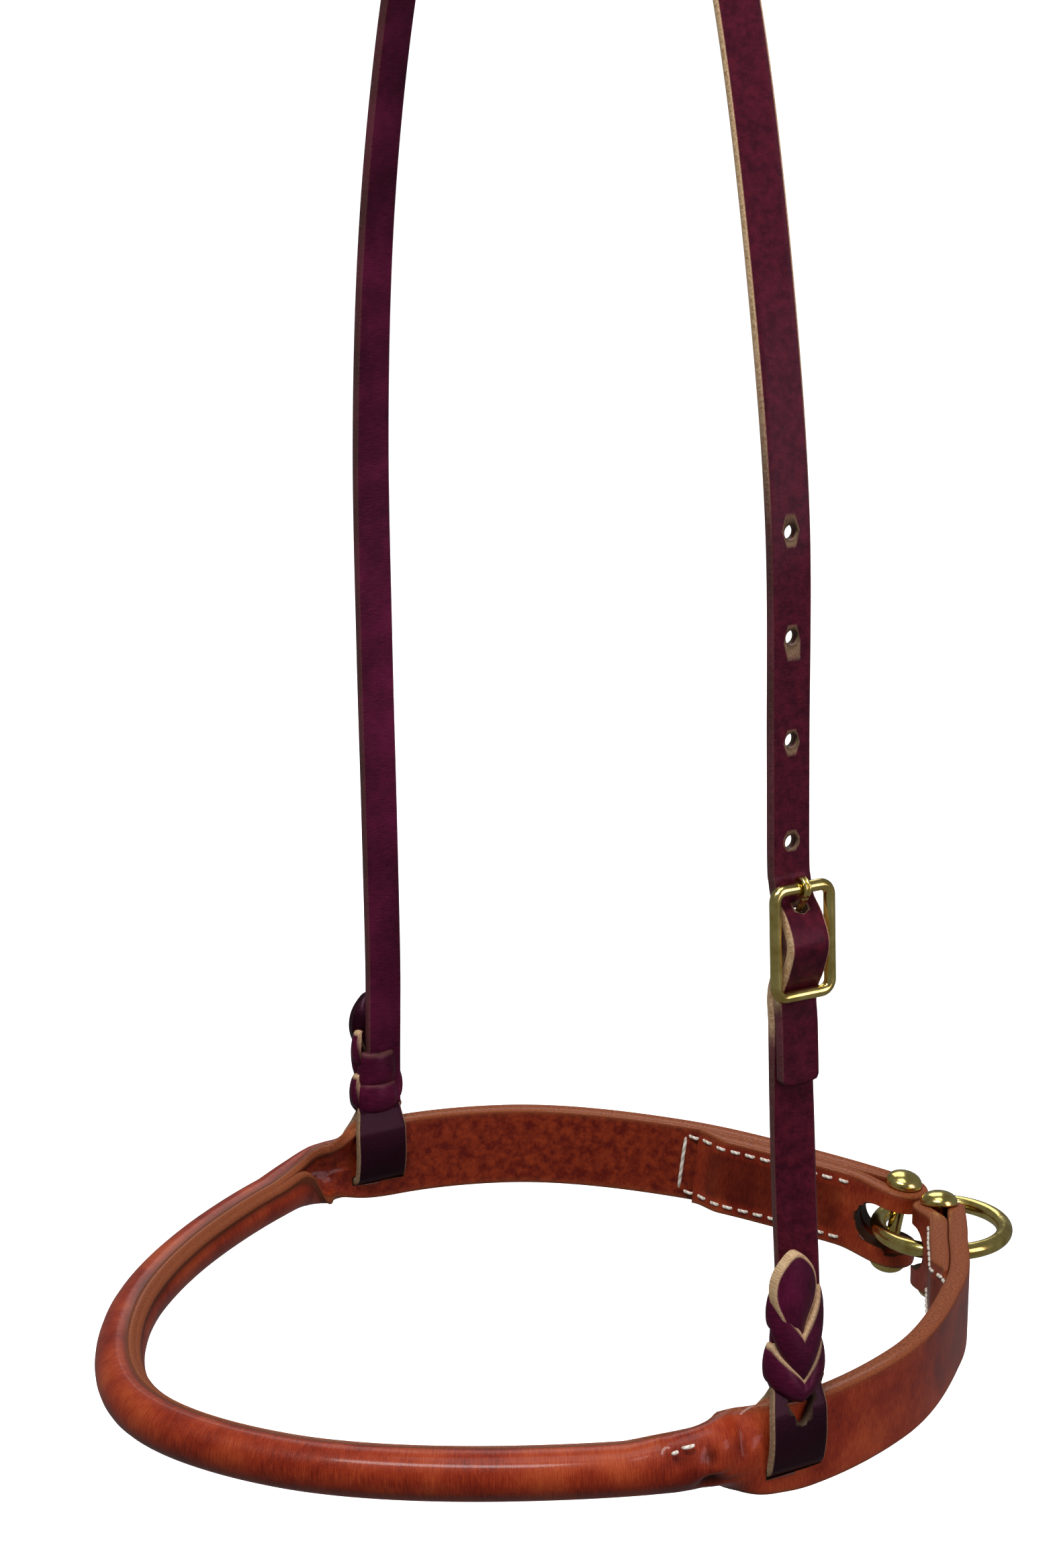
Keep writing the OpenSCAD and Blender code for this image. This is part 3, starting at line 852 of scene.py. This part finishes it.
def ribbon(stations, shade, edge, flesh):
    """A flat strap through stations (point, across, out, width, thick); edge may depend on the point."""
    rings, zones, uvs = [], [], []
    run, last = 0.0, None
    for p, across, out, width, thick in stations:
        if last is not None:
            run += (p - last).length
        last = p
        pts, zs = rounded_section(width, thick)
        rings.append([p + across * a + out * e for a, e in pts])
        e_here = edge(p) if callable(edge) else edge
        zones += [(z[0] * e_here, z[1] * flesh, shade * (1 - 0.7 * z[0] * e_here)) for z in zs]
        uvs += [(run, a + (0 if e > 0 else 40)) for a, e in pts]
    return rings, zones, uvs


def ribbon_object(name, stations, shade, edge, flesh=1.0, closed=False):
    """A strap of the hanger as one piece; a closed one's end joins its start."""
    rings, zones, uvs = ribbon(stations, shade, edge, flesh)
    return build(name, "hanger", *skin(rings, not closed), LATIGO, zones, uvs)


def at_buckle(out, up):
    """A point (y, z): out behind the plane of the bars, up from the buckle's middle."""
    c, s = cos(BUCKLE_LEAN), sin(BUCKLE_LEAN)
    return Vector((BUCKLE_PLANE + out * c + up * s, BUCKLE_MIDDLE + up * c - out * s))


BUCKLE_PLANE, BUCKLE_MIDDLE, BUCKLE_LEAN = -95.7, 118.1, radians(3.5)
BUCKLE_WIDTH, BUCKLE_HEIGHT, BUCKLE_WIRE, TONGUE_WIRE = 16.6, 26.2, 2.3, 1.8
BAR = (BUCKLE_HEIGHT - BUCKLE_WIRE) / 2
TONGUE_TURN = BUCKLE_WIRE / 2 + 0.07 + TONGUE_WIRE / 2
BEHIND_BAR = BUCKLE_WIRE / 2 + 0.2 + STRAP_THICK / 2
BEHIND_HOOK = TONGUE_TURN + TONGUE_WIRE / 2 + 0.2 + STRAP_THICK / 2
BULGE = -2
LAYER = STRAP_THICK + 0.15
KNOT_FOOT, KNOT_TOP = 14, 47

crown_points = [at_buckle(BEHIND_BAR - 0.1, -BAR - 21), at_buckle(BEHIND_BAR, -BAR - 8),
                at_buckle(BEHIND_BAR + 0.25, -BAR - 0.5), at_buckle(BULGE + 1.9, -BAR + 5.6),
                at_buckle(BULGE, -BAR + 11.5), at_buckle(BULGE + 2.2, BAR - 7),
                at_buckle(BEHIND_HOOK - 1.1, BAR - 3.3),
                at_buckle(BEHIND_HOOK + 0.1, BAR + 0.8), at_buckle(BEHIND_HOOK + 0.5, BAR + 6)]
crown_points += [Vector(p) for p in (
    (-88.6, 161), (-86.7, 207), (-80.2, 250), (-69.2, 299), (-57, 335), (-39, 372), (-16, 396),
    (8, 400 + STRAP_THICK / 2), (34, 391), (58, 366), (74, 335), (87, 296), (96, 251), (100, 200),
    (99.4, 145), (98, 100), (97, 60), (97.2, KNOT_TOP - 4), (97.6, 30), (LOOP_MIDDLE - 0.3, KNOT_FOOT + 2))]
crown_curve = bend(crown_points, 12, crown_points[0] - Vector((0, 5)), crown_points[-1] - Vector((0, 5)))


def crown_twist(z):
    """How far the strap has turned about its own length at height z."""
    return radians(14) * ease(150, 300, z) * (1 - ease(330, 390, z))


def hanging_stations(curve, twist, width):
    """Stations along a (y, z) curve, with the grain side on its right."""
    out = []
    n = len(curve)
    for i, p in enumerate(curve):
        d = (curve[min(i + 1, n - 1)] - curve[max(i - 1, 0)]).normalized()
        t = Vector((0, d[0], d[1]))
        flat = ACROSS.cross(t)
        a = twist(p[1])
        across = cos(a) * ACROSS + sin(a) * flat
        out.append((Vector((0, p[0], p[1])), across, across.cross(t) * -1, width(i, p), STRAP_THICK))
    return out


TAIL_ROUND = 1.4


def crown_width(i, p):
    """The crown strap's end by the buckle is cut to a rounded tip."""
    near_end = p[0] < 0 and i < 30
    d = (p - crown_curve[0]).length
    return STRAP_WIDTH * (sqrt(max(1 - (1 - clamp(d / TAIL_ROUND)) ** 2, 0.12)) if near_end else 1)


def crown_edge(p):
    """How much of the raw tan edge shows: pale by the crown and in the buckle, dark like the strap's face
    elsewhere.
    """
    if p[1] > 0:
        return 0.06 + 0.5 * ease(330, 370, p[2])
    window = ease(100, 106, p[2]) * (1 - ease(124, 130, p[2]))
    return max(0.06, 0.85 * window, ease(195, 262, p[2]))


crown = ribbon_object("crown_strap_leather", hanging_stations(crown_curve, crown_twist, crown_width),
                      0.0, crown_edge)

# The cheek strap lies on the crown strap's inside in the buckle, one layer off its curve.
layer_points = []
for i in range(9, 67):
    d = (crown_curve[i + 1] - crown_curve[i - 1]).normalized()
    layer_points.append(crown_curve[i] + LAYER * Vector((d[1], -d[0])))
cheek_low = [Vector(p) for p in ((-LOOP_MIDDLE + 0.3, KNOT_FOOT + 2), (-97.4, 30), (-96.3, KNOT_TOP - 4),
                                 (-94.6, 60))]
cheek_curve = bend(cheek_low + [layer_points[0]], 12, cheek_low[0] - Vector((0, 5)), layer_points[1])
cheek_curve += layer_points[1:]


def cheek_width(_, p):
    """The strap's top end is rounded."""
    d = (p - cheek_curve[-1]).length
    return STRAP_WIDTH * sqrt(max(1 - (1 - clamp(d / 4)) ** 2, 0.16))


def cheek_twist(z):
    return radians(17) * (1 - ease(66, 108, z))


def cheek_edge(p):
    return max(0.08, 0.8 * ease(92, 100, p[2]) * (1 - ease(112, 118, p[2])))


cheek = ribbon_object("cheek_strap_leather", hanging_stations(cheek_curve, cheek_twist, cheek_width),
                      0.0, cheek_edge)


def lathe(profile, centre, axis, sides=48):
    """Rings of a turned shape; profile is (along, radius)."""
    d = axis.normalized()
    a = d.cross(ACROSS).normalized()
    b = a.cross(d)
    return [[centre + d * t + a * r * cos(tau * k / sides) + b * r * sin(tau * k / sides)
             for k in range(sides)] for t, r in profile]


def drill(point, direction, radius, reach):
    """A round cutter through a strap, whose wall takes the raw edge's look."""
    verts, faces = skin(lathe([(t, radius) for t in (-reach, -0.1, 0.1, reach)], point, direction, 28))
    return build("drill", None, verts, faces, LATIGO, [(0.9, 0, 0)] * len(verts), [(0, 0)] * len(verts))


HOLE, FIRST_HOLE, HOLE_PITCH = 3.4, 139.1, 22.5
holes = []
for k in range(4):
    z = FIRST_HOLE + HOLE_PITCH * k
    y = min(crown_curve[:150], key=lambda p: abs(p[1] - z))[0]
    holes.append(drill(Vector((0, y, z)), Vector((0, 1, 0)), HOLE / 2, 6))


def on_buckle(x, y, z):
    """A point in the buckle's own axes: x across, y behind the bars, z up."""
    p = at_buckle(y, z)
    return Vector((x, p[0], p[1]))


SLOPE = radians(38)


def on_tongue(x, y, z):
    """A point in the tongue's axes: z runs up the leg, whose top is at the front of the top bar."""
    y -= TONGUE_TURN
    c, s = cos(SLOPE), sin(SLOPE)
    return on_buckle(x, y * c - z * s, y * s + z * c + BAR)


leg_dir = (on_tongue(0, 0, -1) - on_tongue(0, 0, 0)).normalized()
cut(crown, holes + [drill(on_tongue(0, 0, -6), leg_dir, 1.7, 4.6)])
cut(cheek, [drill(on_tongue(0, 0, -8.5), leg_dir, 1.7, 4.5)])
for obj in (crown, cheek):
    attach(obj, "hanger")


# ---------------------------------------------------------------- blood knots
LOOP_THICK = 2.1
BACK_EDGE = 0.06    # the folds on the horse's side show almost no raw edge


def knot_point(side, x, out, z):
    """A point of a knot: out is away from the horse, from the middle of the band."""
    return Vector((x + mix(LOOP_SHIFT, KNOT_SHIFT, ease(6, 20, z)), -side * (LOOP_MIDDLE + out), z))


def leaf(name, side, base_out, rim, shift):
    """The pointed end of the strap, lying against the front of the knot."""
    thick = 2.3
    outline = [(0, 46.4), (-2.2, 45.4), (-5.0, 42.2), (-6.1, 38.6), (-5.6, 34.6), (-3.0, 29.0), (-1.6, 24.0),
               (1.6, 24.0), (3.0, 29.0), (5.6, 34.6), (6.1, 38.6), (5.0, 42.2), (2.2, 45.4)]
    pts = bend([Vector(p) for p in outline], 5, Vector(outline[-1]), Vector(outline[0]))
    pts += bend([Vector(outline[-1]), Vector(outline[0])], 5, Vector(outline[-2]), Vector(outline[1]))[1:-1]
    centre = Vector((0, 37))
    # rings from the back of the edge over its rim to the crown of the face: (scale, height, raw edge)
    rings, zones = [], []
    for inset, lift, edge in ((1.0, -0.5, 1), (0.99, -0.42, 1), (1.0, 0.0, 1), (1.0, 0.3, 1),
                              (0.985, 0.46, 1),
                              (0.93, 0.53, 0.9), (0.88, 0.55, 0.0), (0.6, 0.72, 0.0), (0.3, 0.80, 0.0)):
        ring = []
        for p in pts:
            q = centre + (p - centre) * inset
            curl = -0.9 * (abs(q[0]) / 6) ** 2 + 0.7 * sin((q[1] - 24) / 22 * pi)
            ring.append(knot_point(side, q[0] * 0.94 + shift, base_out + thick * lift + curl, q[1] + 1.4))
        rings.append(ring)
        # rim sets how much raw edge shows, and 1 - rim is painted shade that darkens a tail with rim 0 nearly to
        # black
        zones += [(edge * rim, 0, 0.9 * (1 - rim))] * len(ring)
    verts, faces = skin(rings)
    return build(name, "hanger", verts, faces, LATIGO, zones, [(v[0], v[2]) for v in verts])


def scale(name, side, horn, notch, lobe, tip, wide, deep, shade=0.0, edge=1.0, inward=False, turn=112):
    """A fold of the strap round the knot: a notch at its top takes the piece above, its tip tucks in below.

    horn and notch are its top's heights at the sides and in the middle, lobe and tip those of its bottom.
    """
    columns, rows = 44, 12
    thick = LOOP_THICK
    rings, zones, uvs = [], [], []
    flip = -1 if inward else 1
    for i in range(columns + 1):
        phi = radians(mix(-turn, turn, i / columns))
        a = abs(phi) / (pi / 2)
        z_top = mix(notch, horn, min(1, a / 0.82) ** 0.85)
        z_bot = mix(tip, lobe, min(1, a / 0.95) ** 1.15)
        spine = []
        for j in range(rows + 1):
            v = j / rows
            z = mix(z_bot, z_top, v)
            puff = sin(pi * min(1, v * 0.9 + 0.06)) ** 0.55
            tuck = -1.5 * (1 - clamp(v / 0.25)) ** 2
            lift = 0.35 * clamp((v - 0.8) / 0.2)
            w = wide * (0.80 + 0.20 * puff) + 0.4 * tuck
            d = deep * (0.62 + 0.38 * puff) + tuck + lift
            x = w * sin(phi)
            out = d * cos(phi) if cos(phi) > 0 else 3.2 * cos(phi)
            spine.append((x, out, z))
        lean = Vector((sin(phi) / wide, cos(phi) / deep)).normalized()
        # up the outside, round the top edge, then back down the inside
        ring = list(spine)
        x, out, z = spine[-1]
        for k in range(1, 6):
            b = pi * k / 6
            q = thick / 2 * (1 - cos(b))
            ring.append((x - lean[0] * q, out - lean[1] * q, z + 0.55 * sin(b)))
        for x, out, z in reversed(spine):
            ring.append((x - lean[0] * thick, out - lean[1] * thick, z))
        rings.append([knot_point(side, x, flip * out, z) for x, out, z in ring])
        for j, q in enumerate(ring):
            tan = 1.0 if rows <= j <= rows + 6 else 0.0
            zones.append((tan * edge, 0.0, shade))
            uvs.append((q[2], q[0]))
    return build(name, "hanger", *skin(rings), LATIGO, zones, uvs)


def band_loop(name, side, near):
    """The near-black strap that goes round the noseband and through its slit."""
    low, high, eaves, r = -4.5, 15.4, 10.2, 2.6

    def stand(z):
        """How far a leg stands off the band, below the height at which it leans in."""
        return 0.7 * sin(pi * clamp((eaves - z) / (eaves - low - r))) ** 0.8

    path = []
    for k in range(33):
        # down the outer face
        z = mix(high - 0.6, low + r, k / 32)
        path.append((mix(3.7, 1.5, clamp((z - eaves) / (high - eaves))) + stand(z), z))
    for k in range(1, 9):
        a = radians(90 * k / 9)
        path.append((3.7 - r + r * cos(a), low + r - r * sin(a)))
    for k in range(1, 9):
        a = radians(90 * k / 9)
        path.append((-3.65 + r - r * sin(a), low + r - r * cos(a)))
    for k in range(33):
        # up the inner face
        z = mix(low + r, high - 0.6, k / 32)
        path.append((mix(-3.65, -1.3, clamp((z - eaves) / (high - eaves))) - stand(z), z))
    for k in range(1, 12):
        a = pi * k / 12
        path.append((0.1 - 1.35 * cos(a), high - 0.6 + 0.9 * sin(a)))
    stations = []
    for i, (o, z) in enumerate(path):
        a, b = path[i - 1], path[(i + 1) % len(path)]
        t = Vector((0, b[0] - a[0], b[1] - a[1])).normalized()
        out = Vector((0, t[2], -t[1]))
        hidden = clamp((0.9 - o) / 2.2) if near else clamp((0.9 + o) / 2.2)
        x = (3.4 if near else 2.0) * ease(6.5, 11, z) * hidden
        stations.append((knot_point(side, x, o, z), ACROSS, Vector((0, -side * out[1], out[2])) * -1,
                         mix(14.9, 13.0, ease(9, 16, z)), LOOP_THICK))
    obj = ribbon_object(name, stations, 0.98, 0.75, 0.0, closed=True)
    # the opening between the two legs of the loop, over the band
    tri = [(-3.4, 12.2), (-2.8, 13.4), (3.0, 13.4), (3.8, 12.2),
           (2.0, 8.0), (1.1, 6.6), (0.3, 6.6), (-0.8, 8.0)]
    rings = [[knot_point(side, x, o, z) for x, z in tri] for o in (2.62, 7.5)]
    verts, faces = skin(rings)
    cut(obj, [build("window", None, verts, faces, LATIGO, [(1, 0, 0.1)] * len(verts), [(0, 0)] * len(verts))])
    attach(obj, "hanger")
    return obj


def knot(prefix, side):
    """One blood knot with its loop round the band."""
    near = side == NEAR
    parts = [band_loop(prefix + "_band_loop", side, near),
             # the far tail's rim of 0.0 gives it no raw edge and painted shade that makes it nearly black
             leaf(prefix + "_tail", side, *((2.0, 1.0, -1.6) if near else (3.2, 0.0, -0.6))),
             scale(prefix + "_upper_wrap", side, 38.0, 27.2, 29.0, 15.6, 7.4, 5.3),
             scale(prefix + "_lower_wrap", side, 25.5, 17.0, 16.4, 11.6, 8.0, 5.9, shade=0.1),
             scale(prefix + "_upper_back", side, 31.6, 31.2, 21.6, 21.8, 5.9, 4.0,
                   edge=BACK_EDGE, inward=True, turn=96),
             scale(prefix + "_lower_back", side, 22.8, 22.6, 14.0, 14.0, 6.2, 4.3,
                   edge=BACK_EDGE, inward=True, turn=96)]


knot("near_knot", NEAR)
knot("far_knot", FAR)
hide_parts("crown_strap")
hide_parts("cheek_strap")


# ---------------------------------------------------------------- brass
def dome_profile(seat, sign):
    """A domed head that sits at this height, with a rounded rim."""
    r = HEAD_DIAMETER / 2
    rise = 2.9
    prof = [(seat, r - 0.35), (seat + 0.15, r - 0.08), (seat + 0.4, r), (seat + 0.62, r - 0.05)]
    for k in range(1, 13):
        a = pi / 2 * k / 12
        prof.append((seat + 0.62 + rise * sin(a) ** 1.05, max((r - 0.05) * cos(a) ** 0.92, 0.05)))
    return [(t * sign, q) for t, q in prof]


def metal(name, body, shapes, node_name, closed=False):
    """One piece from the rings of each shape; a closed one's last ring joins its first."""
    obj = build(name, body, *merged(skin(rings, not closed) for rings in shapes), BRASS, sharp=50)
    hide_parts(node_name)


SEAT = BAND_HEIGHT / 2 + 0.2
for side, word in ((NEAR, "near"), (FAR, "far")):
    c, t, o, u = fold_frame(side)
    post = lathe([(-SEAT, PIN_DIAMETER / 2), (SEAT - 0.1, PIN_DIAMETER / 2)], c, u)
    metal(word + "_post", word + "_pin", [post, lathe(dome_profile(SEAT, -1), c, u)], word + "_pin_post")
    metal(word + "_cap", word + "_pin", [lathe(dome_profile(SEAT, 1), c, u)], word + "_pin_cap")

ring_z = fold_frame(NEAR)[0][2]
ring_radius = (RING_INSIDE + RING_WIRE) / 2
RING_MIDDLE = 118.4
torus = []
for i in range(144):
    a = tau * i / 144
    e = Vector((cos(a), sin(a), 0))
    c = Vector((RING_MIDDLE, 0, ring_z)) + e * ring_radius
    torus.append([c + (e * cos(tau * k / 28) + Vector((0, 0, 1)) * sin(tau * k / 28))
                  * RING_WIRE / 2 for k in range(28)])
metal("brass_ring", "ring", [torus], "tie_down_ring", closed=True)


def wire_frame(width, height, corner, wire):
    """The buckle's frame, a closed wire with round corners; the wire is drawn 15% thicker than the CAD's."""
    x, z = (width - wire) / 2, (height - wire) / 2
    bulk, sides = wire * 0.575, 20
    pts = []
    for cx, cz, a0 in ((x - corner, z - corner, 0), (corner - x, z - corner, 90),
                       (corner - x, corner - z, 180), (x - corner, corner - z, 270)):
        for k in range(9):
            a = radians(a0 + 90 * k / 8)
            pts.append((cx + corner * cos(a), cz + corner * sin(a)))
    dense = []
    for a, b in zip(pts, pts[1:] + pts[:1]):
        steps = max(1, int(dist(a, b) / 1.5))
        dense += [(mix(a[0], b[0], k / steps), mix(a[1], b[1], k / steps)) for k in range(steps)]
    rings = []
    n = len(dense)
    for i, (px, pz) in enumerate(dense):
        a, b = dense[i - 1], dense[(i + 1) % n]
        tx, tz = b[0] - a[0], b[1] - a[1]
        m = hypot(tx, tz)
        ox, oz = tz / m, -tx / m
        rings.append([on_buckle(px + ox * bulk * cos(tau * k / sides),
                                bulk * sin(tau * k / sides),
                                pz + oz * bulk * cos(tau * k / sides)) for k in range(sides)])
    return rings


metal("buckle_wire", "hanger", [wire_frame(BUCKLE_WIDTH, BUCKLE_HEIGHT, 2.4, BUCKLE_WIRE)], "buckle_frame",
      closed=True)

tongue_rings = []
for side in (-1, 1):
    r = TONGUE_WIRE / 4
    pts = []
    for k in range(27):
        a = radians(-80 + 260 * (1 - k / 26))
        # round the bar, from behind it, over the top and down the front
        pts.append(on_tongue(side * r, TONGUE_TURN + TONGUE_TURN * cos(pi - a),
                             TONGUE_TURN * sin(pi - a)))
    for k in range(1, 20):
        pts.append(on_tongue(side * r * (1 - 0.15 * (k / 19) ** 2), 0, -9.5 * k / 19))
    tongue_rings.append(tube(pts, lambda u: r * (1 - 0.25 * ease(0.93, 1, u)), 14, 1.0, ACROSS))
metal("tongue_wires", "tongue", tongue_rings, "buckle_tongue")


# ---------------------------------------------------------------- camera, floor and light
VIEW_AZIMUTH, VIEW_ELEVATION, VIEW_DISTANCE = -30.9, 15.5, 0.7581
VIEW_CENTRE = to_frame((-11.65, 1.4, 131.95))
LIGHT_CENTRE = Vector((0, 0, -0.23))


def stand_off(obj, centre, azimuth, elevation, distance):
    """Puts a camera or light at this angle (degrees) and distance (metres) from a point that it faces."""
    a, e = radians(azimuth), radians(elevation)
    d = Vector((sin(a) * cos(e), -cos(a) * cos(e), sin(e)))
    obj.location = centre + d * distance
    obj.rotation_mode = "QUATERNION"
    obj.rotation_quaternion = (-d).to_track_quat("-Z", "Y")
    bpy.context.scene.collection.objects.link(obj)


cam = bpy.data.objects.new("camera", bpy.data.cameras.new("camera"))
cam.data.lens = 72.87
cam.data.sensor_width = 36
cam.data.clip_start = 0.01
stand_off(cam, VIEW_CENTRE, VIEW_AZIMUTH, VIEW_ELEVATION, VIEW_DISTANCE)
bpy.context.scene.camera = cam

world = bpy.data.worlds.new("studio")
bpy.context.scene.world = world
world.use_nodes = True
preset(world.node_tree.nodes["Background"], {"Color": (1, 1, 1, 1), "Strength": 0.15})
bpy.context.scene.view_settings.view_transform = "Standard"


def emitter(name, colour, strength):
    """A matt surface that gives its own light, so that no shadow greys it."""
    m, _, bsdf = shader(name)
    preset(bsdf, {"Base Color": (*colour, 1), "Roughness": 0.9,
                  "Emission Color": (*colour, 1), "Emission Strength": strength})
    return m


def surround(name, make, material, height=0.0, **shape):
    """A surface that the camera sees, but that neither lights the object nor shows in its gloss."""
    bm = bmesh.new()
    make(bm, **shape)
    mesh = bpy.data.meshes.new(name)
    bm.to_mesh(mesh)
    bm.free()
    obj = bpy.data.objects.new(name, mesh)
    obj.location = (0, 0, height)
    bpy.context.scene.collection.objects.link(obj)
    mesh.materials.append(material)
    obj.visible_diffuse = obj.visible_glossy = obj.visible_transmission = obj.visible_shadow = False


FLOOR_GAP = 0.06    # the noseband hangs this far above the floor
surround("backdrop", bmesh.ops.create_uvsphere, emitter("backdrop_white", (1, 1, 1), 1.0),
         u_segments=48, v_segments=24, radius=6)
surround("floor", bmesh.ops.create_circle, emitter("pale_floor", (0.97, 0.97, 0.97), 1.02),
         cad_box[0][2] - FLOOR_GAP, cap_ends=True, segments=96, radius=3.0)


def area_light(name, azimuth, elevation, distance, width, height, power, colour=(1, 1, 1)):
    """A soft light: angles in degrees, lengths in metres, power in watts."""
    data = bpy.data.lights.new(name, "AREA")
    data.shape = "RECTANGLE"
    data.size, data.size_y = width, height
    data.energy = power
    data.color = colour
    stand_off(bpy.data.objects.new(name, data), LIGHT_CENTRE, azimuth, elevation, distance)


area_light("key", -55, 55, 1.6, 0.9, 0.3, 19)
area_light("fill", 25, 15, 1.8, 0.7, 1.2, 11, colour=(1.0, 0.82, 0.92))
area_light("rim", 150, 40, 1.8, 1.0, 1.0, 7)
area_light("top", -20, 85, 1.5, 0.8, 0.8, 6)
